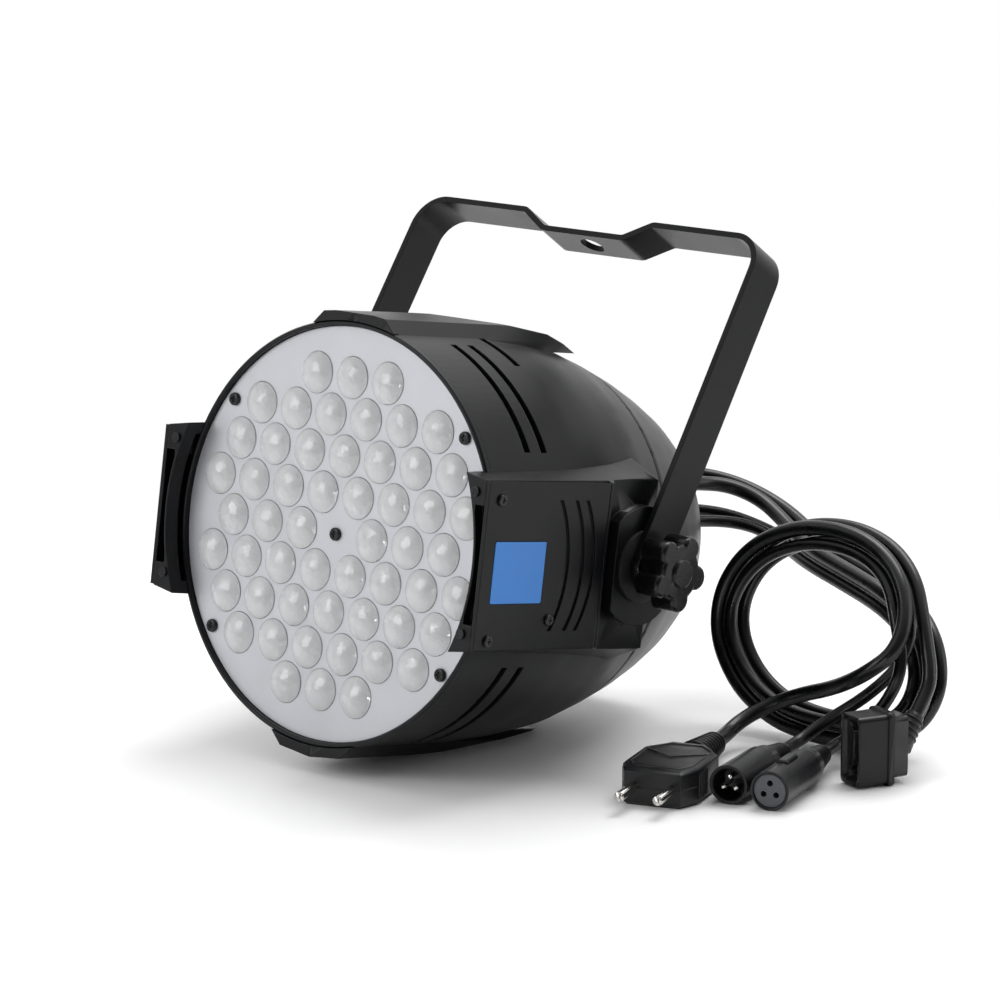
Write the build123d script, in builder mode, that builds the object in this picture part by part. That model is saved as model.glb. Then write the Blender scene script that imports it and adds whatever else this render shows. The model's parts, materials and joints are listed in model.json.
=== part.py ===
from build123d import *
from math import cos, pi, radians, sin, sqrt, tan
import os

# Stage par light: a cast can with 54 lenses, side boxes, a flat-bar yoke and four tails of cable.
# Lamp frame (level): X across the lamp, Y back along the beam axis, Z up, origin at the middle of the
# lens plate's face. The finished lamp is then set down, tipped back, on the flat under its bottom rib,
# with the floor at Z = 0. The cables and connectors are drawn straight in that resting frame.

# ---------------------------------------------------------------- driving dimensions (mm)
REST_TILT = 9.1              # how far the face is tipped up when the lamp rests (degrees)
FACE_R = 100.0               # clear radius inside the front bezel
WALL = 2.4                   # cast wall
CAN_R = FACE_R + WALL        # outer radius of the can at the front
RIM_AHEAD = 3.2              # bezel edge ahead of the lens plate
SEAM_Y = 137.0               # joint between the can halves and the rear cap
SEAM_R = 91.4
PANEL_Y = 205.0              # back of the rear panel
PANEL_R = 57.0
PANEL_T = 3.0
CAP_END_R = 59.8
HALF_GAP = 0.1               # half the gap between the two can halves
LEDGE = 2.0                  # how far a plate sits on the ledge behind it

RIB_HALF = 20.0              # half width of the ribs at the crest
RIB_FOOT = 27.0              # half width of the ribs where they meet the can
RIB_CREST = 108.0
RIB_EDGE = 105.6
RIB_END_Y = 135.0
FLAT_FROM_Y = 70.0           # the flat under the bottom rib, on which the lamp rests
FLAT_TO_Y = 128.0
FLAT_MID_Y = 91.0
FLAT_MID_Z = -101.2
FLAT_HALF = 20.0

SLOT_W = 4.2                 # cooling slots in the can
SLOT_CUT = 12.0              # depth of the cutter, right through the wall
SLOT_YS = (30.0, 42.0)
SLOT_FROM = 20.0             # degrees from the rib's middle
SLOT_TO = 60.0
SHORT_SLOT_Y = 60.0
SHORT_SLOT_FROM = 15.0
SHORT_SLOT_TO = 30.0

LENS_PITCH_X = 23.16
LENS_PITCH_Z = 18.86
LENS_D = 20.2                # dome that shows in front of the plate
LENS_FLANGE_D = 21.4
LENS_BULGE = 4.4             # how far a dome stands ahead of the plate
LENS_FLANGE_T = 1.5
LENS_FOOT_R = 6.4
PLATE_T = 2.0
PLATE_GAP = 0.3              # gap round the plate
PLATE_SCREW_X = 75.8
PLATE_SCREW_Z = 56.0
SCREW_R = 1.5
SCREW_HEAD_R = 3.2
SCREW_HEAD_T = 2.0
SCREW_FIT = 0.05             # drawn gap round a screw in its thread
POST_R = 3.5
BOARD_Y = 16.0               # front of the LED board
BOARD_T = 1.6
BOARD_R = 92.0
LED_SIDE = 3.6
LED_T = 1.8
HOLDER_T = 1.9
SINK_T = 5.0                 # heat sink base
FIN_H = 24.0
FIN_T = 2.0
FIN_PITCH = 11.0
FIN_COUNT = 16
PILLAR_XZ = 55.0
PILLAR_R = 3.4
MID_Y = 62.0                 # front of the steel mid plate that carries the electronics
MID_T = 1.5
MID_R = 90.0

BOX_X = 107.0                # outer face of the side covers
COVER_T = 2.4
BOX_FRONT_Y = -15.0
BOX_STEP_Y = 74.0            # behind this the box is set back and carries the pivot boss
BOX_STEP = 3.0
BOX_REAR_Y = 111.0           # end of the box
BOX_HALF_Z = 39.5
BOX_WALL = 3.0
BOX_ROOT_X = 62.0            # where the drawn sections start, inside the can
BOX_FLARE_FRONT = 0.17       # slope of the box's top towards the can, at its front and back ends
BOX_FLARE_REAR = 0.45
GROOVE_R = 58.0              # bow of the grooves in the side covers
GROOVE_W = 2.2
GROOVE_YS = (46.0, 57.0, 65.0)
GROOVE_SPAN = 62.0
GROOVE_DEEP = 12.0           # a groove's ends lie less than this ahead of its middle
BOX_SEAT = 0.1               # gap between the box and the can
STRIP_R = 100.7              # inner edge of the box's front face
PIVOT_Y = 97.0
PIVOT_Z = 0.0
BOSS_R = 29.0
BOSS_X = 110.5
BOSS_ROOT_X = 92.0           # the boss starts inside the box, against the can
BUSH_R = 8.0
BUSH_T = 9.0

BAR_W = 22.0                 # yoke flat bar
BAR_T = 3.0
YOKE_LEAN = 25.4             # lean back from the lamp's own vertical at rest (degrees)
YOKE_L = 173.0               # pivot to the crossbar's middle plane
YOKE_FOOT_X = 114.0          # middle of the bar at the pivots
YOKE_TOP_X = 111.5           # middle of the bar at the top corners
YOKE_STRAIGHT = 25.0         # parallel length of each arm above the pivot
YOKE_BEND_R = 16.0
DIP = 9.0                    # drop of the crossbar's middle
DIP_HALF = 26.0
DIP_SHOULDER = 42.0
DIP_BEND_R = 6.0
HANG_HOLE_D = 13.0
STUD_R = 4.0
RUNNING_FIT = 0.06           # radial clearance of a turning shaft
SIDE_FIT = 0.3               # gap between faces that pass each other

FRICTION_WASHER_R = 17.5
STEEL_WASHER_R = 10.0
STEEL_WASHER_T = 1.2
KNOB_R = 19.0
KNOB_LOBES = 5
KNOB_LOBE_R = 6.0
KNOB_HUB_R = 10.5
KNOB_NECK = 4.5
KNOB_T = 14.0

GLAND_XZ = {"mains_in": (26.0, 30.0), "mains_out": (6.0, 33.0), "dmx_in": (6.0, 13.0), "dmx_out": (26.0, 10.0)}
GLAND_LENGTH = 16.0
GLAND_FLANGE_R = 8.2
GLAND_FLANGE_T = 3.0
GLAND_NUT_R = 7.4
GLAND_THREAD_R = 5.6
CORD_D = {"mains_in": 7.6, "mains_out": 7.0, "dmx_in": 6.2, "dmx_out": 6.2}

FAN_SIDE = 45.0
FAN_T = 11.0
FAN_Z = -23.5
FAN_BLADES = 7
BUTTON_XS = (-39.0, -29.5, -20.0, -10.5)
BUTTON_Z = 10.0
BUTTON_R = 3.0
BUTTON_PROUD = 2.0
BUTTON_TRAVEL = 0.6
DISPLAY_X = -22.0
DISPLAY_Z = 27.0
DISPLAY_W = 28.0
DISPLAY_H = 13.0

SINK_Y = BOARD_Y + BOARD_T
SINK_BACK_Y = SINK_Y + SINK_T
MID_BACK_Y = MID_Y + MID_T
PANEL_FRONT_Y = PANEL_Y - PANEL_T
COVER_BACK_X = BOX_X - COVER_T
ARM_IN_X = YOKE_FOOT_X - BAR_T / 2
ARM_OUT_X = YOKE_FOOT_X + BAR_T / 2

CAN_OUTLINE = [(0.0, CAN_R), (62.0, CAN_R), (90.0, CAN_R - 1.8), (115.0, CAN_R - 5.0), (SEAM_Y, SEAM_R)]
CAP_OUTLINE = [(SEAM_Y, SEAM_R), (155.0, 85.6), (170.0, 79.8), (185.0, 73.0), (198.0, 65.4), (PANEL_Y, CAP_END_R)]

os.makedirs("parts", exist_ok=True)
lamp_parts = []


def keep(block, name):
    """Hold a finished lamp piece, still level, until the resting place is known."""
    lamp_parts.append((name, block.part))


def across(x):
    """A plane square to X, with Y and Z as its own axes."""
    return Plane(origin=(x, 0, 0), x_dir=(0, 1, 0), z_dir=(1, 0, 0))


def facing(y):
    """A plane square to the beam axis, seen from behind the lamp's face, with X and Z as its own axes."""
    return Plane(origin=(0, y, 0), x_dir=(1, 0, 0), z_dir=(0, -1, 0))


def disc(radius, front, back, holes=()):
    """A round plate square to the beam axis, with round holes given as (x, z, radius)."""
    with BuildPart() as plate:
        with BuildSketch(facing(back)):
            Circle(radius)
            for x, z, hole_r in holes:
                with Locations((x, z)):
                    Circle(hole_r, mode=Mode.SUBTRACT)
        extrude(amount=back - front)
    return plate


def rods(places, radius, front, back):
    """Separate round pins along the beam axis at the given (x, z) places."""
    with BuildPart() as group:
        with BuildSketch(facing(back)):
            with Locations(*places):
                Circle(radius)
        extrude(amount=back - front)
    return group


def block(x_range, y_range, z_range, mode=Mode.ADD):
    """A box between three pairs of limits, for use inside a part."""
    with BuildSketch(facing(y_range[1])) as outline:
        with Locations(((x_range[0] + x_range[1]) / 2, (z_range[0] + z_range[1]) / 2)):
            Rectangle(x_range[1] - x_range[0], z_range[1] - z_range[0])
    extrude(outline.sketch, amount=y_range[1] - y_range[0], mode=mode)


def slot_cutter(y, start, end):
    """What is cut from the can for one cooling slot, between two angles from straight up towards +X."""
    with BuildPart() as cutter:
        with BuildSketch(Plane.YZ):
            with Locations((y, CAN_R)):
                Rectangle(SLOT_W, SLOT_CUT)
        revolve(axis=Axis.Y, revolution_arc=end - start)
    return cutter.part.rotate(Axis.Y, start)


def lens_places():
    """Middles of the lenses: nine staggered rows, with the middle screw in place of one lens."""
    rows = {4: (-1, 0, 1), 3: (-2.5, -1.5, -0.5, 0.5, 1.5, 2.5), 2: (-3, -2, -1, 0, 1, 2, 3),
            1: (-3.5, -2.5, -1.5, -0.5, 0.5, 1.5, 2.5, 3.5), 0: (-3, -2, -1, 1, 2, 3)}
    places = []
    for row in range(4, -5, -1):
        for column in rows[abs(row)]:
            places.append((column * LENS_PITCH_X, row * LENS_PITCH_Z))
    return places


LENSES = lens_places()
PLATE_SCREWS = [(sx * PLATE_SCREW_X, sz * PLATE_SCREW_Z) for sx in (-1, 1) for sz in (-1, 1)] + [(0.0, 0.0)]
PILLARS = [(sx * PILLAR_XZ, sz * PILLAR_XZ) for sx in (-1, 1) for sz in (-1, 1)]

# ---------------------------------------------------------------- cast can: two halves
FLAT_SLOPE = tan(radians(REST_TILT))


def flat_z(y):
    """Height of the rib's flat, which is level when the lamp rests."""
    return FLAT_MID_Z + (y - FLAT_MID_Y) * FLAT_SLOPE


with BuildPart() as body_right:
    # ribs along the top and bottom: a roof-shaped bar cut by its side outline
    with BuildSketch(facing(RIB_END_Y)):
        with BuildLine():
            roof = [(RIB_FOOT, FACE_R - 6), (RIB_FOOT, RIB_EDGE - 7), (RIB_HALF, RIB_EDGE), (0, RIB_CREST)]
            Polyline(*roof, *[(-x, z) for x, z in reversed(roof[:-1])], close=True)
        make_face()
        with BuildLine():
            flat_roof = [(RIB_FOOT, 6 - FACE_R), (RIB_FOOT, 7 - RIB_EDGE), (RIB_HALF, -RIB_EDGE), (0, -RIB_CREST)]
            Polyline(*flat_roof, *[(-x, z) for x, z in reversed(flat_roof[:-1])], close=True)
        make_face()
    extrude(amount=RIB_END_Y + RIM_AHEAD)
    with BuildSketch(Plane.YZ):
        with BuildLine():
            Polyline((-RIM_AHEAD, RIB_CREST - 1.5), (45, RIB_CREST + 0.3), (84, RIB_CREST - 2),
                     (112, RIB_CREST - 5.5), (RIB_END_Y, SEAM_R), (RIB_END_Y, -SEAM_R),
                     (FLAT_TO_Y, flat_z(FLAT_TO_Y)), (FLAT_FROM_Y, flat_z(FLAT_FROM_Y)),
                     (-RIM_AHEAD, -RIB_CREST), close=True)
        make_face()
    extrude(amount=CAN_R, both=True, mode=Mode.INTERSECT)
    # the turned wall, then the bore with its relief for the bezel, and the ledge behind the mid plate
    with BuildSketch(Plane.YZ):
        with BuildLine():
            Polyline((0, 0), *CAN_OUTLINE, (SEAM_Y, 0), close=True)
        make_face()
    revolve(axis=Axis.Y)
    with BuildSketch(Plane.YZ):
        with BuildLine():
            Polyline((-RIM_AHEAD - 1, 0), (-RIM_AHEAD - 1, CAN_R + HALF_GAP), (0, CAN_R + HALF_GAP), (0, FACE_R),
                     *[(y, r - WALL) for y, r in CAN_OUTLINE[1:]], (SEAM_Y, 0), close=True)
        make_face()
    revolve(axis=Axis.Y, mode=Mode.SUBTRACT)
    with BuildSketch(Plane.YZ):
        with Locations((MID_Y, MID_R - LEDGE)):
            Rectangle(4, FACE_R - MID_R + LEDGE + 0.5, align=(Align.MAX, Align.MIN))
    revolve(axis=Axis.Y)
    # cooling slots: two long ones beside each rib, and a short one beside the top rib
    for y in SLOT_YS:
        add(slot_cutter(y, SLOT_FROM, SLOT_TO), mode=Mode.SUBTRACT)
        add(slot_cutter(y, 180 - SLOT_TO, 180 - SLOT_FROM), mode=Mode.SUBTRACT)
    add(slot_cutter(SHORT_SLOT_Y, SHORT_SLOT_FROM, SHORT_SLOT_TO), mode=Mode.SUBTRACT)
    split(bisect_by=Plane.YZ.offset(HALF_GAP), keep=Keep.TOP)
keep(body_right, "body_right")

with BuildPart() as body_left:
    mirror(body_right.part, about=Plane.YZ)
keep(body_left, "body_left")

with BuildPart() as front_bezel:
    with BuildSketch(Plane.YZ):
        with BuildLine():
            Polyline((0, FACE_R), (0, CAN_R), (-RIM_AHEAD + 1, CAN_R), (-RIM_AHEAD, CAN_R - 0.8),
                     (-RIM_AHEAD, FACE_R + 0.6), (-RIM_AHEAD + 0.6, FACE_R), close=True)
        make_face()
    revolve(axis=Axis.Y)
keep(front_bezel, "front_bezel")

# ---------------------------------------------------------------- lens plate and LED engine
plate_holes = [(x, z, LENS_D / 2 + 0.2) for x, z in LENSES]
plate_holes += [(x, z, SCREW_R + 0.3) for x, z in PLATE_SCREWS]
lens_plate = disc(FACE_R - PLATE_GAP, 0, PLATE_T, plate_holes)
keep(lens_plate, "lens_plate")

with BuildPart() as lens:
    with BuildSketch(Plane.YZ):
        with BuildLine():
            edge_r = LENS_D / 2
            ThreePointArc((-LENS_BULGE, 0), (-LENS_BULGE * 0.78, edge_r * 0.5), (-0.4, edge_r))
            Polyline((-0.4, edge_r), (PLATE_T + 0.1, edge_r), (PLATE_T + 0.1, LENS_FLANGE_D / 2),
                     (PLATE_T + 0.1 + LENS_FLANGE_T, LENS_FLANGE_D / 2), (BOARD_Y - HOLDER_T, LENS_FOOT_R),
                     (BOARD_Y - HOLDER_T, 0), (-LENS_BULGE, 0))
        make_face()
    revolve(axis=Axis.Y)
with BuildPart() as lenses:
    with Locations(*[(x, 0, z) for x, z in LENSES]):
        add(lens.part)
keep(lenses, "lenses")

with BuildPart() as lens_holders:
    with BuildSketch(facing(BOARD_Y)):
        with Locations(*LENSES):
            Circle(LENS_FOOT_R + 1)
            Circle(LENS_FOOT_R - 0.8, mode=Mode.SUBTRACT)
    extrude(amount=HOLDER_T)
keep(lens_holders, "lens_holders")

with BuildPart() as led_emitters:
    with BuildSketch(facing(BOARD_Y)):
        with Locations(*LENSES):
            Rectangle(LED_SIDE, LED_SIDE)
    extrude(amount=LED_T - 0.2)
keep(led_emitters, "led_emitters")

led_board = disc(BOARD_R, BOARD_Y, BOARD_Y + BOARD_T)
keep(led_board, "led_board")

with BuildPart() as plate_posts:
    with BuildSketch(facing(BOARD_Y)):
        with Locations(*PLATE_SCREWS):
            RegularPolygon(POST_R, 6)
            Circle(SCREW_R + SCREW_FIT, mode=Mode.SUBTRACT)
    extrude(amount=BOARD_Y - PLATE_T)
keep(plate_posts, "plate_posts")

with BuildPart() as plate_screw:
    with BuildSketch(facing(8.0)):
        Circle(SCREW_R)
    extrude(amount=8.0)
    with BuildSketch(facing(0)):
        Circle(SCREW_HEAD_R)
    extrude(amount=SCREW_HEAD_T)
    fillet(faces().sort_by(Axis.Y)[0].edges(), SCREW_HEAD_T * 0.45)
    with BuildSketch(facing(-SCREW_HEAD_T + 0.9)):
        Rectangle(3.4, 0.8)
        Rectangle(0.8, 3.4)
    extrude(amount=2, mode=Mode.SUBTRACT)
with BuildPart() as plate_screws:
    with Locations(*[(x, 0, z) for x, z in PLATE_SCREWS]):
        add(plate_screw.part)
keep(plate_screws, "plate_screws")

with BuildPart() as heat_sink:
    with BuildSketch(facing(SINK_BACK_Y)):
        Circle(BOARD_R)
    extrude(amount=SINK_T)
    with BuildSketch(facing(SINK_BACK_Y + FIN_H)):
        for i in range(FIN_COUNT):
            fin_x = (i - (FIN_COUNT - 1) / 2) * FIN_PITCH
            with Locations((fin_x, 0)):
                Rectangle(FIN_T, 2 * sqrt(BOARD_R ** 2 - (abs(fin_x) + FIN_T) ** 2))
    extrude(amount=FIN_H)
keep(heat_sink, "heat_sink")


# ---------------------------------------------------------------- electronics on the mid plate
mid_plate = disc(MID_R, MID_Y, MID_BACK_Y)
keep(mid_plate, "mid_plate")

POWER_X, POWER_Z = (-58.0, 58.0), (-64.0, -6.0)
DRIVER_X, DRIVER_Z = (-56.0, 56.0), (8.0, 62.0)
SPACER_T = 5.0
SPACER_R = 3.0
PCB_T = 1.6
PCB_Y = MID_BACK_Y + SPACER_T
PCB_BACK_Y = PCB_Y + PCB_T
corner_inset = 5.0
spacer_places = []
for xs, zs in ((POWER_X, POWER_Z), (DRIVER_X, DRIVER_Z)):
    for x in (xs[0] + corner_inset, xs[1] - corner_inset):
        for z in (zs[0] + corner_inset, zs[1] - corner_inset):
            spacer_places.append((x, z))
with BuildPart() as standoffs:
    add(rods(PILLARS, PILLAR_R, SINK_BACK_Y, MID_Y).part)
    add(rods(spacer_places, SPACER_R, MID_BACK_Y, PCB_Y).part)
keep(standoffs, "standoffs")

with BuildPart() as power_board:
    block(POWER_X, (PCB_Y, PCB_BACK_Y), POWER_Z)
keep(power_board, "power_board")

with BuildPart() as driver_board:
    block(DRIVER_X, (PCB_Y, PCB_BACK_Y), DRIVER_Z)
keep(driver_board, "driver_board")

with BuildPart() as transformer:
    block((-16, 16), (PCB_BACK_Y, PCB_BACK_Y + 24), (-50, -18))
    block((-13, 13), (PCB_BACK_Y + 24, PCB_BACK_Y + 28), (-44, -24))
    fillet(edges().filter_by(Axis.Y), 1.5)
keep(transformer, "transformer")

capacitors = rods([(-44, -24), (-30, -24), (-44, -46), (-30, -46)], 6.0, PCB_BACK_Y, PCB_BACK_Y + 25)
with BuildPart() as inductors:
    with BuildSketch(facing(PCB_BACK_Y + 10)):
        with GridLocations(22, 24, 5, 2):
            with Locations((0, (DRIVER_Z[0] + DRIVER_Z[1]) / 2)):
                Circle(7)
                Circle(3, mode=Mode.SUBTRACT)
    extrude(amount=10)
keep(capacitors, "capacitors")
keep(inductors, "inductors")

# ---------------------------------------------------------------- rear cap and what it carries
BUTTONS = [(x, BUTTON_Z) for x in BUTTON_XS]
CONTROL_Y = 190.0
CONTROL_X, CONTROL_Z = (-45.0, -4.0), (3.0, 40.0)
CONTROL_BACK_Y = CONTROL_Y + PCB_T
CAP_LEDGE_R = PANEL_R - 4.0
PANEL_SCREW_R = PANEL_R - 2.6
PANEL_SCREWS = [(PANEL_SCREW_R * cos(radians(a)), PANEL_SCREW_R * sin(radians(a))) for a in (90, 205, 335)]

with BuildPart() as rear_cap:
    with BuildSketch(Plane.YZ):
        with BuildLine():
            inside = [(y, r - WALL) for y, r in CAP_OUTLINE if y < PANEL_FRONT_Y - 6]
            seam_in = SEAM_R - WALL - 0.1
            Polyline(*CAP_OUTLINE, (PANEL_Y, PANEL_R + 0.2), (PANEL_FRONT_Y, PANEL_R + 0.2),
                     (PANEL_FRONT_Y, CAP_LEDGE_R), (PANEL_FRONT_Y - 2, CAP_LEDGE_R),
                     (PANEL_FRONT_Y - 6, PANEL_R), *reversed(inside[1:]),
                     (SEAM_Y, seam_in - 2), (SEAM_Y - 7, seam_in - 2), (SEAM_Y - 7, seam_in), (SEAM_Y, seam_in),
                     close=True)
        make_face()
    revolve(axis=Axis.Y)
    with BuildSketch(facing(PANEL_Y)):
        with Locations(*PANEL_SCREWS):
            Circle(SCREW_R + SCREW_FIT)
    extrude(amount=10, mode=Mode.SUBTRACT)
keep(rear_cap, "rear_cap")

with BuildPart() as rear_panel:
    with BuildSketch(facing(PANEL_Y)):
        Circle(PANEL_R)
        for x, z in GLAND_XZ.values():
            with Locations((x, z)):
                Circle(GLAND_THREAD_R + 0.1, mode=Mode.SUBTRACT)
        with Locations(*BUTTONS):
            Circle(BUTTON_R + SIDE_FIT, mode=Mode.SUBTRACT)
        with Locations((DISPLAY_X, DISPLAY_Z)):
            RectangleRounded(DISPLAY_W, DISPLAY_H, 1.5, mode=Mode.SUBTRACT)
        with Locations(*PANEL_SCREWS):
            Circle(SCREW_R + 0.2, mode=Mode.SUBTRACT)
        # fan grille: rings of slots left open between four spokes
        with Locations((0, FAN_Z)):
            for ring_r in (20.0, 16.0, 11.5, 7.0):
                Circle(ring_r + 1.2, mode=Mode.SUBTRACT)
                Circle(ring_r - 1.2)
    extrude(amount=PANEL_T)
    with BuildSketch(facing(PANEL_Y)):
        with Locations((0, FAN_Z)):
            for turn in (45, 135):
                Rectangle(44, 2.4, rotation=turn)
    extrude(amount=PANEL_T)
    with BuildSketch(facing(PANEL_FRONT_Y)):
        with Locations((-7.0, 37.9), (-42.0, 16.0)):
            Circle(2.0)
    extrude(amount=PANEL_FRONT_Y - CONTROL_BACK_Y)
keep(rear_panel, "rear_panel")

with BuildPart() as display_window:
    with BuildSketch(facing(PANEL_FRONT_Y)):
        with Locations((DISPLAY_X, DISPLAY_Z)):
            RectangleRounded(DISPLAY_W + 4, DISPLAY_H + 4, 1.5)
    extrude(amount=1.6)
keep(display_window, "display_window")

with BuildPart() as display_module:
    block((DISPLAY_X - 14, DISPLAY_X + 14), (CONTROL_BACK_Y, PANEL_FRONT_Y - 2), (DISPLAY_Z - 6.5, DISPLAY_Z + 6.5))
keep(display_module, "display_module")

with BuildPart() as control_board:
    block(CONTROL_X, (CONTROL_Y, CONTROL_BACK_Y), CONTROL_Z)
keep(control_board, "control_board")

SWITCH_BACK_Y = CONTROL_BACK_Y + 5.0
with BuildPart() as tact_switches:
    with BuildSketch(facing(SWITCH_BACK_Y)):
        with Locations(*BUTTONS):
            Rectangle(6, 6)
    extrude(amount=5.0)
keep(tact_switches, "tact_switches")

BUTTON_FRONT_Y = SWITCH_BACK_Y + BUTTON_TRAVEL + SIDE_FIT
for name, (x, z) in zip(("button_menu", "button_down", "button_up", "button_enter"), BUTTONS):
    with BuildPart() as button:
        with BuildSketch(facing(PANEL_Y + BUTTON_PROUD)):
            with Locations((x, z)):
                Circle(BUTTON_R)
        extrude(amount=PANEL_Y + BUTTON_PROUD - BUTTON_FRONT_Y)
        fillet(faces().sort_by(Axis.Y)[-1].edges(), 0.5)
        with BuildSketch(facing(BUTTON_FRONT_Y + 1.4)):
            with Locations((x, z)):
                Circle(BUTTON_R + 1.2)
        extrude(amount=1.4)
    keep(button, name)

# cooling fan behind the grille: frame with its hub, and the turning impeller
FAN_BACK_Y = PANEL_FRONT_Y
FAN_FRONT_Y = FAN_BACK_Y - FAN_T
with BuildPart() as fan_frame:
    with BuildSketch(facing(FAN_BACK_Y)):
        with Locations((0, FAN_Z)):
            RectangleRounded(FAN_SIDE, FAN_SIDE, 3)
            Circle(FAN_SIDE / 2 - 1.2, mode=Mode.SUBTRACT)
    extrude(amount=FAN_T)
    with BuildSketch(facing(FAN_FRONT_Y + 1.5)):
        with Locations((0, FAN_Z)):
            Circle(9)
            for turn in (0, 60, 120):
                Rectangle(FAN_SIDE - 1.6, 2, rotation=turn)
    extrude(amount=1.5)
    with BuildSketch(facing(FAN_FRONT_Y + 5)):
        with Locations((0, FAN_Z)):
            Circle(3.2)
            Circle(1.5 + RUNNING_FIT, mode=Mode.SUBTRACT)
    extrude(amount=3.5)
keep(fan_frame, "fan_frame")

with BuildPart() as fan_rotor:
    with BuildSketch(facing(FAN_BACK_Y - 0.8)):
        with Locations((0, FAN_Z)):
            Circle(8.5)
    extrude(amount=1.4)
    with BuildSketch(facing(FAN_BACK_Y - 2.2)):
        with Locations((0, FAN_Z)):
            Circle(8.5)
            Circle(7.3, mode=Mode.SUBTRACT)
    extrude(amount=6.4)
    with BuildSketch(facing(FAN_BACK_Y - 2.0)):
        with Locations((0, FAN_Z)):
            Circle(1.5)
    extrude(amount=FAN_T - 4.0)
    # blades: thin paddles set round the cup
    with BuildSketch(facing(FAN_BACK_Y - 1.2)):
        with Locations((0, FAN_Z)):
            with PolarLocations(13.8, FAN_BLADES):
                Rectangle(12.4, 1.1, rotation=28)
    extrude(amount=6.6)
keep(fan_rotor, "fan_rotor")

for tail, (x, z) in GLAND_XZ.items():
    cord_r = CORD_D[tail] / 2
    with BuildPart() as relief:
        with BuildSketch(across(x)):
            with BuildLine():
                Polyline((PANEL_FRONT_Y - 5, z), (PANEL_FRONT_Y - 5, z + GLAND_NUT_R), (PANEL_FRONT_Y, z + GLAND_NUT_R),
                         (PANEL_FRONT_Y, z + GLAND_THREAD_R), (PANEL_Y, z + GLAND_THREAD_R),
                         (PANEL_Y, z + GLAND_FLANGE_R), (PANEL_Y + GLAND_FLANGE_T, z + GLAND_FLANGE_R),
                         (PANEL_Y + GLAND_FLANGE_T + 1, z + cord_r + 2.6),
                         (PANEL_Y + GLAND_LENGTH, z + cord_r + 0.9), (PANEL_Y + GLAND_LENGTH, z), close=True)
            make_face()
        revolve(axis=Axis((x, 0, z), (0, 1, 0)))
    keep(relief, f"strain_relief_{tail}")

# ---------------------------------------------------------------- side boxes with the yoke's pivots
STEP_X = BOX_X - BOX_STEP


def box_section(y, slope):
    """The side box's outline square to the beam axis: its top and bottom flare towards the can."""
    rise = (BOX_X - BOX_ROOT_X) * slope
    with BuildSketch(facing(y)) as section:
        with BuildLine():
            Polyline((BOX_X, -BOX_HALF_Z), (BOX_X, BOX_HALF_Z), (BOX_ROOT_X, BOX_HALF_Z + rise),
                     (BOX_ROOT_X, -BOX_HALF_Z - rise), close=True)
        make_face()
    return section.sketch


COVER_SCREWS = [(-6.0, 31.0), (-6.0, -35.0), (36.0, -25.6)]
FRONT_SCREWS = [(98.6, 34.0), (98.6, -32.6)]
CAVITY_FRONT_Y = BOX_FRONT_Y + 8
CAVITY_HALF_Z = BOX_HALF_Z - BOX_WALL
LUG_X = COVER_BACK_X - 6.5

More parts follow.
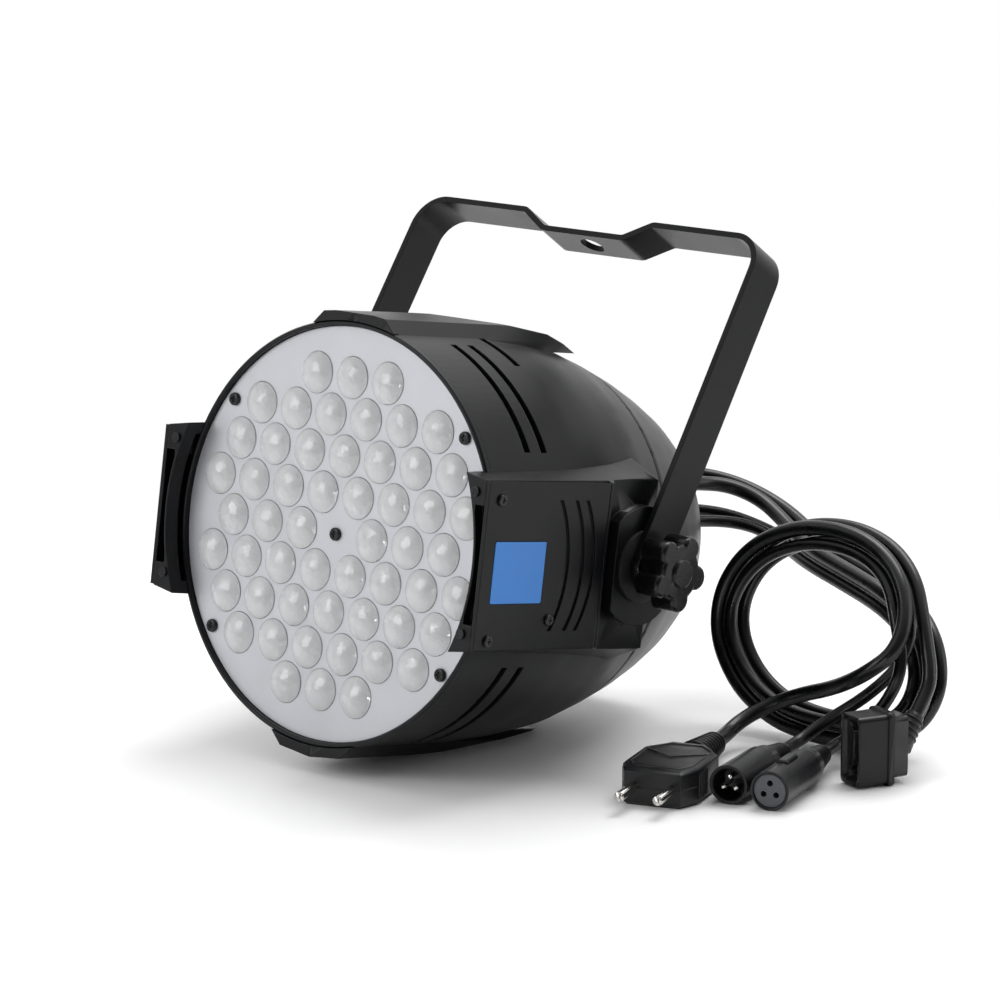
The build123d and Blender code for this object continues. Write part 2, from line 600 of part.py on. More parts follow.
with BuildPart() as side_box_right:
    add(box_section(BOX_REAR_Y, BOX_FLARE_REAR))
    add(box_section(BOX_FRONT_Y, BOX_FLARE_FRONT))
    loft(ruled=True)
    with BuildSketch(Plane.XY):
        with BuildLine():
            Polyline((BOX_ROOT_X - 1, BOX_FRONT_Y), (BOX_X, BOX_FRONT_Y), (BOX_X, BOX_STEP_Y),
                     (STEP_X, BOX_STEP_Y + 3), (STEP_X, BOX_REAR_Y), (BOX_ROOT_X - 1, BOX_REAR_Y), close=True)
        make_face()
    extrude(amount=90, both=True, mode=Mode.INTERSECT)
    # room inside, open towards the can
    with BuildSketch(Plane.XY):
        with BuildLine():
            Polyline((BOX_ROOT_X - 1, CAVITY_FRONT_Y), (COVER_BACK_X + 1, CAVITY_FRONT_Y),
                     (COVER_BACK_X + 1, BOX_STEP_Y - 2), (BOSS_ROOT_X, BOX_STEP_Y - 2),
                     (BOSS_ROOT_X, BOX_STEP_Y), (BOX_ROOT_X - 1, BOX_STEP_Y), close=True)
        make_face()
    extrude(amount=CAVITY_HALF_Z, both=True, mode=Mode.SUBTRACT)
    # lugs for the cover's screws, in the front corners and on the floor of the room
    block((LUG_X, COVER_BACK_X), (CAVITY_FRONT_Y - 1, -1), (26, CAVITY_HALF_Z + 0.5))
    block((LUG_X, COVER_BACK_X), (CAVITY_FRONT_Y - 1, -1), (-CAVITY_HALF_Z - 0.5, -30))
    block((LUG_X, COVER_BACK_X), (32, 40), (-CAVITY_HALF_Z - 0.5, -21.5))
    # seat for the cover plate
    block((COVER_BACK_X, BOX_X + 1), (BOX_FRONT_Y - 1, BOX_STEP_Y - 1.5), (-BOX_HALF_Z - 1, BOX_HALF_Z + 1),
          Mode.SUBTRACT)
    with BuildSketch(across(COVER_BACK_X)):
        with Locations(*COVER_SCREWS):
            Circle(SCREW_R + SCREW_FIT)
    extrude(amount=-4.5, mode=Mode.SUBTRACT)
    # pivot boss: a hub standing on the can, its front cut off straight at the step
    with BuildSketch(across(BOSS_ROOT_X)):
        with Locations((PIVOT_Y, PIVOT_Z)):
            Circle(BOSS_R)
        with Locations((BOX_STEP_Y + 3, PIVOT_Z)):
            Rectangle(40, 80, align=(Align.MAX, Align.CENTER), mode=Mode.SUBTRACT)
    extrude(amount=BOSS_X - BOSS_ROOT_X)
    # the can's own shape, with the front edge standing a little way over the bezel
    with BuildSketch(Plane.YZ):
        with BuildLine():
            Polyline((BOX_FRONT_Y - 1, 0), (BOX_FRONT_Y - 1, STRIP_R), (-RIM_AHEAD - SIDE_FIT, STRIP_R),
                     (-RIM_AHEAD - SIDE_FIT, CAN_R + BOX_SEAT), (0, CAN_R + BOX_SEAT),
                     *[(y, r + BOX_SEAT) for y, r in CAN_OUTLINE[1:]], (SEAM_Y, 0), close=True)
        make_face()
    revolve(axis=Axis.Y, mode=Mode.SUBTRACT)
    # hollow between the lugs of the front face, and the holes for the two screws in them
    with BuildSketch(facing(BOX_FRONT_Y + 5)):
        with Locations((BOX_X, 0)):
            Rectangle(16, 56)
        Circle(STRIP_R + 1.2, mode=Mode.SUBTRACT)
        with Locations((COVER_BACK_X, 0)):
            Rectangle(10, 60, align=(Align.MIN, Align.CENTER), mode=Mode.SUBTRACT)
    extrude(amount=6, mode=Mode.SUBTRACT)
    with BuildSketch(facing(BOX_FRONT_Y + 6)):
        with Locations(*FRONT_SCREWS):
            Circle(SCREW_R + SCREW_FIT)
    extrude(amount=7, mode=Mode.SUBTRACT)
    with BuildSketch(across(BOSS_X)):
        with Locations((PIVOT_Y, PIVOT_Z)):
            Circle(BUSH_R)
    extrude(amount=-BUSH_T, mode=Mode.SUBTRACT)
keep(side_box_right, "side_box_right")

with BuildPart() as side_box_left:
    mirror(side_box_right.part, about=Plane.YZ)
keep(side_box_left, "side_box_left")

LABEL_Y, LABEL_Z = (-7.0, 29.0), (-17.5, 11.5)
with BuildPart() as side_cover_right:
    with BuildSketch(across(BOX_X)):
        with BuildLine():
            Polyline((BOX_FRONT_Y, -BOX_HALF_Z), (BOX_FRONT_Y, BOX_HALF_Z), (BOX_STEP_Y - 2, BOX_HALF_Z),
                     (BOX_STEP_Y - 2, -BOX_HALF_Z), close=True)
        make_face()
        with Locations(*COVER_SCREWS):
            Circle(SCREW_R + 0.2, mode=Mode.SUBTRACT)
    extrude(amount=-(COVER_T - HALF_GAP))
    # three bowed grooves and the shallow place for the label plate
    for y in GROOVE_YS:
        with BuildSketch(across(BOX_X)):
            with Locations((y - GROOVE_R, 0)):
                Circle(GROOVE_R + GROOVE_W / 2)
                Circle(GROOVE_R - GROOVE_W / 2, mode=Mode.SUBTRACT)
            with Locations((y - GROOVE_DEEP, 0)):
                Rectangle(2 * GROOVE_DEEP + GROOVE_W, GROOVE_SPAN, align=(Align.MIN, Align.CENTER), mode=Mode.INTERSECT)
        extrude(amount=-1.2, mode=Mode.SUBTRACT)
    with BuildSketch(across(BOX_X)):
        with Locations((sum(LABEL_Y) / 2, sum(LABEL_Z) / 2)):
            Rectangle(LABEL_Y[1] - LABEL_Y[0] + 0.2, LABEL_Z[1] - LABEL_Z[0] + 0.2)
    extrude(amount=-0.5, mode=Mode.SUBTRACT)
keep(side_cover_right, "side_cover_right")

with BuildPart() as side_cover_left:
    mirror(side_cover_right.part, about=Plane.YZ)
keep(side_cover_left, "side_cover_left")

with BuildPart() as label_plate:
    with BuildSketch(across(BOX_X - 0.5)):
        with Locations((sum(LABEL_Y) / 2, sum(LABEL_Z) / 2)):
            RectangleRounded(LABEL_Y[1] - LABEL_Y[0], LABEL_Z[1] - LABEL_Z[0], 0.8)
    extrude(amount=0.7)
keep(label_plate, "label_plate")

with BuildPart() as cover_screw:
    with BuildSketch(across(BOX_X)):
        Circle(2.8)
    extrude(amount=1.4)
    fillet(faces().sort_by(Axis.X)[-1].edges(), 0.6)
    with BuildSketch(across(BOX_X)):
        Circle(SCREW_R)
    extrude(amount=-6.0)
    with BuildSketch(across(BOX_X + 0.7)):
        Rectangle(3.0, 0.7)
        Rectangle(0.7, 3.0)
    extrude(amount=2, mode=Mode.SUBTRACT)
with BuildPart() as case_screws:
    with Locations(*[(0, y, z) for y, z in COVER_SCREWS]):
        add(cover_screw.part)
    for x, z in FRONT_SCREWS:
        with BuildSketch(facing(BOX_FRONT_Y)) as head:
            with Locations((x, z)):
                Circle(2.4)
        extrude(head.sketch, amount=1.2)
        with BuildSketch(facing(BOX_FRONT_Y + 5)) as shank:
            with Locations((x, z)):
                Circle(SCREW_R)
        extrude(shank.sketch, amount=5)
    mirror(about=Plane.YZ)
    for x, z in PANEL_SCREWS:
        with BuildSketch(facing(PANEL_Y + 1.3)) as head:
            with Locations((x, z)):
                Circle(2.2)
        extrude(head.sketch, amount=1.3)
        with BuildSketch(facing(PANEL_Y)) as shank:
            with Locations((x, z)):
                Circle(SCREW_R)
        extrude(shank.sketch, amount=8)
keep(case_screws, "case_screws")

# ---------------------------------------------------------------- pivots, yoke and clamping knobs
def sided(make, name):
    """The right-hand piece as drawn, and its mirror image on the left."""
    with BuildPart() as right:
        add(make)
    keep(right, name + "_right")
    with BuildPart() as left:
        mirror(make, about=Plane.YZ)
    keep(left, name + "_left")


def ring(outer_r, inner_r, start_x, thickness):
    """A washer or bush on the pivot axis."""
    with BuildPart() as washer:
        with BuildSketch(across(start_x)):
            with Locations((PIVOT_Y, PIVOT_Z)):
                Circle(outer_r)
                Circle(inner_r, mode=Mode.SUBTRACT)
        extrude(amount=thickness)
    return washer.part


with BuildPart() as pivot_bushes:
    add(ring(BUSH_R - SCREW_FIT, STUD_R + RUNNING_FIT, BOSS_X - BUSH_T, BUSH_T))
    mirror(about=Plane.YZ)
keep(pivot_bushes, "pivot_bushes")

with BuildPart() as friction_washers:
    add(ring(FRICTION_WASHER_R, STUD_R + SIDE_FIT, BOSS_X, ARM_IN_X - SIDE_FIT - BOSS_X))
    mirror(about=Plane.YZ)
keep(friction_washers, "friction_washers")

with BuildPart() as steel_washers:
    add(ring(STEEL_WASHER_R, STUD_R + SIDE_FIT, ARM_OUT_X, STEEL_WASHER_T))
    mirror(about=Plane.YZ)
keep(steel_washers, "steel_washers")

KNOB_X = ARM_OUT_X + STEEL_WASHER_T + SIDE_FIT
with BuildPart() as knob_right:
    with BuildSketch(across(KNOB_X)):
        with Locations((PIVOT_Y, PIVOT_Z)):
            Circle(KNOB_HUB_R)
    extrude(amount=KNOB_NECK)
    with BuildSketch(across(KNOB_X + KNOB_NECK)):
        with Locations((PIVOT_Y, PIVOT_Z)):
            Circle(KNOB_R - KNOB_LOBE_R * 0.9)
            with PolarLocations(KNOB_R - KNOB_LOBE_R, KNOB_LOBES, start_angle=-10):
                Circle(KNOB_LOBE_R)
    extrude(amount=KNOB_T)
    fillet(faces().sort_by(Axis.X)[-1].edges(), 2.0)
    with BuildSketch(across(KNOB_X + KNOB_NECK + KNOB_T)):
        with Locations((PIVOT_Y, PIVOT_Z)):
            Circle(7.0)
    extrude(amount=1.6)
    fillet(faces().sort_by(Axis.X)[-1].edges(), 1.2)
    with BuildSketch(across(KNOB_X)):
        with Locations((PIVOT_Y, PIVOT_Z)):
            Circle(STUD_R + SCREW_FIT)
    extrude(amount=KNOB_NECK + 8, mode=Mode.SUBTRACT)
sided(knob_right.part, "knob")

with BuildPart() as knob_stud:
    with BuildSketch(across(BOSS_X - BUSH_T + SIDE_FIT)):
        with Locations((PIVOT_Y, PIVOT_Z)):
            Circle(STUD_R)
    extrude(amount=KNOB_X + KNOB_NECK + 7.5 - BOSS_X + BUSH_T - SIDE_FIT)
sided(knob_stud.part, "knob_stud")

yoke_up = Vector(0, sin(radians(YOKE_LEAN)), cos(radians(YOKE_LEAN)))
yoke_plane = Plane(origin=(0, PIVOT_Y, PIVOT_Z), x_dir=(1, 0, 0), z_dir=Vector(1, 0, 0).cross(yoke_up))
with BuildPart() as yoke:
    with BuildLine(yoke_plane) as bend_line:
        half = [(DIP_HALF, YOKE_L - DIP), (DIP_SHOULDER, YOKE_L), (YOKE_TOP_X, YOKE_L),
                (YOKE_FOOT_X, YOKE_STRAIGHT), (YOKE_FOOT_X, 0)]
        FilletPolyline(*[(-x, s) for x, s in reversed(half)], *half,
                       radius=[200, YOKE_BEND_R, DIP_BEND_R, DIP_BEND_R, DIP_BEND_R, DIP_BEND_R, YOKE_BEND_R, 200])
    with BuildSketch(Plane(origin=bend_line.line @ 0, x_dir=(1, 0, 0), z_dir=yoke_up)):
        Rectangle(BAR_T, BAR_W)
    sweep(transition=Transition.RIGHT)
    # rounded feet round the pivots
    for start_x in (ARM_IN_X, -ARM_OUT_X):
        with BuildSketch(across(start_x)):
            with Locations((PIVOT_Y, PIVOT_Z)):
                Circle(BAR_W / 2)
        extrude(amount=BAR_T)
    with BuildSketch(across(0)):
        with Locations((PIVOT_Y, PIVOT_Z)):
            Circle(STUD_R + RUNNING_FIT)
    extrude(amount=BOX_X + 20, both=True, mode=Mode.SUBTRACT)
    with BuildSketch(Plane(origin=Vector(0, PIVOT_Y, PIVOT_Z) + yoke_up * (YOKE_L - DIP), z_dir=yoke_up)):
        Circle(HANG_HOLE_D / 2)
    extrude(amount=BAR_T, both=True, mode=Mode.SUBTRACT)
keep(yoke, "yoke")

# ---------------------------------------------------------------- set the lamp down at rest
LEVEL_HEIGHT = FLAT_MID_Y * sin(radians(REST_TILT)) - FLAT_MID_Z * cos(radians(REST_TILT))
tipped = Rotation(-REST_TILT, 0, 0)
tipped_boxes = [part.moved(tipped).bounding_box() for name, part in lamp_parts]
MIDDLE_Y = (min(box.min.Y for box in tipped_boxes) + max(box.max.Y for box in tipped_boxes)) / 2
at_rest = Location((0, -MIDDLE_Y, LEVEL_HEIGHT)) * tipped
for name, part in lamp_parts:
    resting = part.moved(at_rest)
    resting.label = name
    export_step(resting, f"parts/{name}.step")

# ---------------------------------------------------------------- connectors on the floor (resting frame)
# Each one is drawn along its own heading, from where its cable enters to its face.
PLUG_TAIL, PLUG_YAW = (130.5, 28, 9.0), 20.0
XLR_MALE_TAIL, XLR_MALE_YAW = (166.6, 34.5, 9.5), 16.0
XLR_FEMALE_TAIL, XLR_FEMALE_YAW = (183.5, 44.5, 9.5), 18.0
SOCKET_REAR, SOCKET_YAW = (218.8, 58.2, 18.0), -20.5
SOCKET_TAIL = (219.0, 69.5, 29.5)
SOCKET_ENTRY = Vector(0, -1, -1).normalized()    # way the cable enters the socket's boot

PLUG_BOOT, PLUG_END, PLUG_SIDE, PLUG_NOSE = 38.0, 92.0, 19.0, 14.0
PLUG_HALF_T = 9.0
PIN_R, PIN_LENGTH, PIN_PITCH = 2.4, 19.0, 19.0
XLR_R = 9.5
XLR_COLLAR_R = 8.2
XLR_BOOT, XLR_COLLAR = 22.0, 30.0
XLR_MALE_END, XLR_CUP_R, XLR_CUP_DEPTH = 68.0, 7.7, 14.0
XLR_FEMALE_END, XLR_INSERT_R, XLR_INSERT_T = 75.0, 7.9, 12.0
CONTACT_R = 1.2
CONTACTS = [(3.6 * cos(radians(a)), 3.6 * sin(radians(a))) for a in (210, 330, 90)]
LATCH_FROM, LATCH_LENGTH, LATCH_W = 44.0, 14.0, 5.4
LATCH_TOP, LATCH_H, LATCH_TRAVEL = 10.8, 3.5, 1.5
SOCKET_DEPTH, SOCKET_W, SOCKET_H = 28.0, 17.0, 34.0


def heading(yaw):
    """Level direction of a connector's face, turned from -Y towards +X."""
    return Vector(sin(radians(yaw)), -cos(radians(yaw)), 0)


def along(point, yaw, distance):
    """A plane square to a connector, with its own x level and its own y straight up."""
    x_dir = (cos(radians(yaw)), sin(radians(yaw)), 0)
    return Plane(origin=Vector(*point) + heading(yaw) * distance, x_dir=x_dir, z_dir=heading(yaw))


def above(point, yaw, height):
    """A level plane over a connector: its own y runs back along the cable."""
    return Plane(origin=Vector(*point) + Vector(0, 0, height), x_dir=(cos(radians(yaw)), sin(radians(yaw)), 0),
                 z_dir=(0, 0, 1))


def cone(plane, length, start_r, end_r):
    """A tapered boot along a plane's normal."""
    with BuildSketch(plane) as near:
        Circle(start_r)
    with BuildSketch(plane.offset(length)) as far:
        Circle(end_r)
    loft([near.sketch, far.sketch])


def drum(plane, length, radius, mode=Mode.ADD, places=((0, 0),)):
    """Round stock along a plane's normal, at one or more places."""
    with BuildSketch(plane) as section:
        with Locations(*places):
            Circle(radius)
    extrude(section.sketch, amount=length, mode=mode)


def put(block, name):
    """Label and write a piece that is drawn where it lies."""
    block.part.label = name
    export_step(block.part, f"parts/{name}.step")


with BuildPart() as plug_body:
    with BuildSketch(above(PLUG_TAIL, PLUG_YAW, 0)) as plan:
        with BuildLine():
            half_plan = [(9, -PLUG_BOOT), (PLUG_SIDE, 8 - PLUG_BOOT - 22), (PLUG_SIDE, 12 - PLUG_END),
                         (PLUG_NOSE, -PLUG_END)]
            Polyline(*half_plan, *[(-x, y) for x, y in reversed(half_plan)], close=True)
        make_face()
    extrude(plan.sketch, amount=PLUG_HALF_T, both=True)
    chamfer(faces().sort_by(Axis.Z)[-1].edges(), 1.6)
    chamfer(faces().sort_by(Axis.Z)[0].edges(), 1.6)
    cone(along(PLUG_TAIL, PLUG_YAW, 0), PLUG_BOOT + 1, CORD_D["mains_in"] / 2 + 1.2, 8.2)
put(plug_body, "plug_body")

with BuildPart() as plug_pins:
    drum(along(PLUG_TAIL, PLUG_YAW, PLUG_END), PIN_LENGTH, PIN_R, places=((-PIN_PITCH / 2, 0), (PIN_PITCH / 2, 0)))
put(plug_pins, "plug_pins")


def xlr_shell(point, yaw, end, cord_r):
    """Boot, collar and barrel of a cable connector."""
    cone(along(point, yaw, 0), XLR_BOOT, cord_r + 1.0, 6.6)
    drum(along(point, yaw, XLR_BOOT), XLR_COLLAR - XLR_BOOT, XLR_COLLAR_R)
    drum(along(point, yaw, XLR_COLLAR), end - XLR_COLLAR, XLR_R)


with BuildPart() as xlr_male_shell:
    xlr_shell(XLR_MALE_TAIL, XLR_MALE_YAW, XLR_MALE_END, CORD_D["dmx_in"] / 2)
    drum(along(XLR_MALE_TAIL, XLR_MALE_YAW, XLR_MALE_END - XLR_CUP_DEPTH), XLR_CUP_DEPTH + 1, XLR_CUP_R,
         Mode.SUBTRACT)
put(xlr_male_shell, "xlr_male_shell")

with BuildPart() as xlr_male_pins:
    drum(along(XLR_MALE_TAIL, XLR_MALE_YAW, XLR_MALE_END - XLR_CUP_DEPTH), XLR_CUP_DEPTH - 2, CONTACT_R,
         places=CONTACTS)
put(xlr_male_pins, "xlr_male_pins")

with BuildPart() as xlr_female_shell:
    xlr_shell(XLR_FEMALE_TAIL, XLR_FEMALE_YAW, XLR_FEMALE_END, CORD_D["dmx_out"] / 2)
    drum(along(XLR_FEMALE_TAIL, XLR_FEMALE_YAW, XLR_FEMALE_END - XLR_INSERT_T), XLR_INSERT_T + 1,
         XLR_INSERT_R + 0.1, Mode.SUBTRACT)
    with BuildSketch(along(XLR_FEMALE_TAIL, XLR_FEMALE_YAW, LATCH_FROM)) as pocket:
        with Locations((0, LATCH_TOP - LATCH_H - LATCH_TRAVEL - SIDE_FIT)):
            Rectangle(LATCH_W + 2 * SIDE_FIT, 12, align=(Align.CENTER, Align.MIN))
    extrude(pocket.sketch, amount=LATCH_LENGTH + 2 * SIDE_FIT, mode=Mode.SUBTRACT)
put(xlr_female_shell, "xlr_female_shell")

with BuildPart() as xlr_female_insert:
    insert_front = along(XLR_FEMALE_TAIL, XLR_FEMALE_YAW, XLR_FEMALE_END - 0.6)
    drum(insert_front, 0.6 - XLR_INSERT_T, XLR_INSERT_R)
    drum(insert_front, -9, CONTACT_R + 0.25, Mode.SUBTRACT, CONTACTS)
put(xlr_female_insert, "xlr_female_insert")

with BuildPart() as xlr_latch:
    with BuildSketch(along(XLR_FEMALE_TAIL, XLR_FEMALE_YAW, LATCH_FROM + SIDE_FIT)) as tab:
        with Locations((0, LATCH_TOP)):
            Rectangle(LATCH_W, LATCH_H, align=(Align.CENTER, Align.MAX))
    extrude(tab.sketch, amount=LATCH_LENGTH)
    chamfer(faces().sort_by(Axis.Z)[-1].edges(), 0.8)
put(xlr_latch, "xlr_latch")

with BuildPart() as socket_body:
    for start, end, width, height in ((0, 9, 14, 30), (9, 12, SOCKET_W + 2, SOCKET_H + 2),
                                      (12, SOCKET_DEPTH, SOCKET_W, SOCKET_H)):
        with BuildSketch(along(SOCKET_REAR, SOCKET_YAW, start)) as slab:
            RectangleRounded(width, height, 2.5)
        extrude(slab.sketch, amount=end - start)
    with BuildSketch(along(SOCKET_REAR, SOCKET_YAW, SOCKET_DEPTH)) as recess:
        RectangleRounded(SOCKET_W - 4, SOCKET_H - 4, 2)
    extrude(recess.sketch, amount=-3, mode=Mode.SUBTRACT)
    drum(along(SOCKET_REAR, SOCKET_YAW, SOCKET_DEPTH), -20, PIN_R + 0.3, Mode.SUBTRACT,
         ((0, -PIN_PITCH / 2), (0, PIN_PITCH / 2)))
    cone(Plane(origin=SOCKET_TAIL, z_dir=SOCKET_ENTRY), 18, CORD_D["mains_out"] / 2 + 1.0, 6.4)
put(socket_body, "socket_body")

# ---------------------------------------------------------------- cables (resting frame)
# The four tails leave their glands, gather into one bundle that makes a single loose turn on the floor,
# and part again to their connectors. The bundle's middle line and the loose ends are chosen by hand.
BUNDLE_ROUTE = [(98, 144, 79), (137, 132, 73), (165, 121, 69), (186, 112, 62), (200, 104, 50), (206, 97, 35),
                (201, 91, 20), (187, 87, 12), (169, 85, 10), (147, 84, 10), (124, 84, 14), (103, 86, 26),
                (89, 89, 45), (87, 94, 66), (98, 100, 86), (119, 106, 98), (145, 108, 101), (171, 104, 97),
                (190, 97, 86), (201, 88, 70)]
BUNDLE_PLACE = {"mains_in": (4.2, -5.2), "mains_out": (4.2, 5.2), "dmx_in": (-4.2, 5.2), "dmx_out": (-4.2, -5.2)}
GLAND_RUN = {"mains_in": 18.0, "mains_out": 18.0, "dmx_in": 17.0, "dmx_out": 16.5}
LEAD_IN = {"mains_in": [(34, 155, 104), (51, 161, 98), (74, 154, 89)],
           "mains_out": [(14, 157, 107), (30, 167, 103), (51, 169, 97), (75, 163, 90)],
           "dmx_in": [(14, 151, 89), (29, 161, 87), (48, 164, 83), (72, 161, 78)],
           "dmx_out": [(36, 150, 86), (52, 156, 84), (72, 153, 79)]}
LEAD_OUT = {"mains_in": [(205, 72, 58), (195, 64, 48), (181, 66, 40), (165, 71, 33), (150, 73, 28), (138, 70, 23),
                         (129, 62, 18), (125, 51.5, 13)],
            "mains_out": [(212, 88, 58), (217, 84, 48)],
            "dmx_in": [(198, 89, 51), (193, 82, 41), (184, 75, 31), (174.5, 67.5, 23), (166.5, 58, 15)],
            "dmx_out": [(202, 81, 53), (203, 77, 43), (199, 74, 32.5), (192, 71.5, 22.5), (184.5, 67, 14)]}
CORD_END = {"mains_in": (PLUG_TAIL, heading(PLUG_YAW), 12.5), "mains_out": (SOCKET_TAIL, SOCKET_ENTRY, 14.0),
            "dmx_in": (XLR_MALE_TAIL, heading(XLR_MALE_YAW), 12.0),
            "dmx_out": (XLR_FEMALE_TAIL, heading(XLR_FEMALE_YAW), 13.0)}


def bundle_lane(outward, back):
    """The bundle's middle line moved outward from its turn and back along the turn's axis."""
    middle = [Vector(*point) for point in BUNDLE_ROUTE]
    lane = []
    for i, point in enumerate(middle):
        ahead = middle[min(i + 1, len(middle) - 1)] - middle[max(i - 1, 0)]
        out_dir = ahead.cross(Vector(0, 1, 0)).normalized()
        back_dir = out_dir.cross(ahead).normalized()
        lane.append(point + out_dir * outward + back_dir * back)
    return lane


def cord_route(tail):
    """All the corner points of one cable, from its gland to its connector."""
    x, z = GLAND_XZ[tail]
    gland_end = (at_rest * Location((x, PANEL_Y + GLAND_LENGTH, z))).position
    gland_run = (at_rest * Location((x, PANEL_Y + GLAND_LENGTH + GLAND_RUN[tail], z))).position
    end, entry, last_run = CORD_END[tail]
    end = Vector(*end)
    middle = [Vector(*p) for p in LEAD_IN[tail]] + bundle_lane(*BUNDLE_PLACE[tail])
    middle += [Vector(*p) for p in LEAD_OUT[tail]]
    return [gland_end, gland_run, *middle, end - entry * last_run, end]


for tail, diameter in CORD_D.items():
    route = cord_route(tail)
    runs = [b - a for a, b in zip(route, route[1:])]
    radii = [0.45 * min(a.length, b.length) / tan(radians(a.get_angle(b)) / 2) for a, b in zip(runs, runs[1:])]
    with BuildPart() as cord:
        with BuildLine() as path:
            FilletPolyline(*route, radius=radii)
        with BuildSketch(Plane(origin=path.line @ 0, z_dir=path.line % 0)):
            Circle(diameter / 2)
        sweep()
    put(cord, f"cord_{tail}")
    length = path.wire().length
    print(tail, "length", round(length), "mm, bend radii", [round(r, 1) for r in radii],
          "volume over section times length", round(cord.part.volume / (length * pi * diameter ** 2 / 4), 4))
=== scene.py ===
import json
from math import cos, radians, sin

import bmesh
import bpy
from mathutils import Matrix, Vector


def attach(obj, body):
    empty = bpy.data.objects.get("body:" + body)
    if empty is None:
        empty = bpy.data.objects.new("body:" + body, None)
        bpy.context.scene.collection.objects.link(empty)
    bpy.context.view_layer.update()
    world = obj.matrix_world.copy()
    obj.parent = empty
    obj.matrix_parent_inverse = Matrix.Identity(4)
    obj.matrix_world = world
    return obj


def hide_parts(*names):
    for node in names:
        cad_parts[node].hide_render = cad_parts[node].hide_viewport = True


# A par can stage light at rest on its bottom rib, with its four tails in one loose turn beside it.
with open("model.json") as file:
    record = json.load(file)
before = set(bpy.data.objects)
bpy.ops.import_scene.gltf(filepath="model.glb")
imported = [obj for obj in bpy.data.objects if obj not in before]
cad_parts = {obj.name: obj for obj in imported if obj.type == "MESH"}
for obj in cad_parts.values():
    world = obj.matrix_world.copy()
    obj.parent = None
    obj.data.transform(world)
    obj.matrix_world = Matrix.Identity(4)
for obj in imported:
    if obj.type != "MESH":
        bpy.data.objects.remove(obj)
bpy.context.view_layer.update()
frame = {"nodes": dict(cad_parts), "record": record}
nodes = frame["nodes"]
scene = bpy.context.scene
scene.view_settings.view_transform = "Standard"

MM = 1000.0                         # millimetres in a metre
REST_TILT = radians(9.1)            # the face is tipped up when the lamp rests
MIDDLE_Y = 0.101301                 # the part's origin, back from the middle of the lens plate
LEVEL_HEIGHT = 0.114319             # height of the middle of the lens plate over the floor


def placed(x, y, z):
    """A point given from the middle of the lens plate, with the lamp level, as it is at rest."""
    return Vector((x, y * cos(REST_TILT) + z * sin(REST_TILT) - MIDDLE_Y,
                   z * cos(REST_TILT) - y * sin(REST_TILT) + LEVEL_HEIGHT))


# ---------------------------------------------------------------- camera
CAMERA_RIGHT = Vector((0.746729, 0.665129, 0.0))
CAMERA_UP = Vector((-0.135738, 0.152391, 0.978955))
CAMERA_PLACE = (1.459619, -1.622170, 0.570171)
CAMERA_LENS = 162.0                 # millimetres
CAMERA_SENSOR = 36.0
camera_data = bpy.data.cameras.new("camera")
camera = bpy.data.objects.new("camera", camera_data)
scene.collection.objects.link(camera)
camera_data.lens = CAMERA_LENS
camera_data.sensor_width = CAMERA_SENSOR
turn = Matrix((CAMERA_RIGHT, CAMERA_UP, CAMERA_RIGHT.cross(CAMERA_UP))).transposed()
camera.matrix_world = Matrix.Translation(CAMERA_PLACE) @ turn.to_4x4()
scene.camera = camera

# ---------------------------------------------------------------- cords
# Control points in millimetres, as the lamp's tails run: out of the rear panel, one loose turn, the ends.
BUNDLE = [(98, 144, 79), (137, 132, 73), (165, 121, 69), (186, 112, 62), (200, 104, 50), (206, 97, 35),
          (201, 91, 20), (187, 87, 12), (169, 85, 10), (147, 84, 10), (124, 84, 14), (103, 86, 26),
          (89, 89, 45), (87, 94, 66), (98, 100, 86), (119, 106, 98), (145, 108, 101), (171, 104, 97),
          (190, 97, 86), (201, 88, 70)]
PLUG_TAIL = Vector((130.5, 28, 9.0))
XLR_MALE_TAIL = Vector((166.6, 34.5, 9.5))
XLR_FEMALE_TAIL = Vector((183.5, 44.5, 9.5))
SOCKET_TAIL = Vector((219.0, 69.5, 29.5))
PANEL_BACK = 205.0
GLAND_LENGTH = 16.0
PLUG_YAW = 20                       # degrees; the connectors lie turned a little differently
XLR_MALE_YAW = 16
XLR_FEMALE_YAW = 18


def heading(yaw):
    """Level direction of a connector's face."""
    return Vector((sin(radians(yaw)), -cos(radians(yaw)), 0))


PLUG_WAY = heading(PLUG_YAW)
XLR_MALE_WAY = heading(XLR_MALE_YAW)
XLR_FEMALE_WAY = heading(XLR_FEMALE_YAW)
SOCKET_WAY = Vector((0, -1, -1)).normalized()     # its tail comes in from above and behind

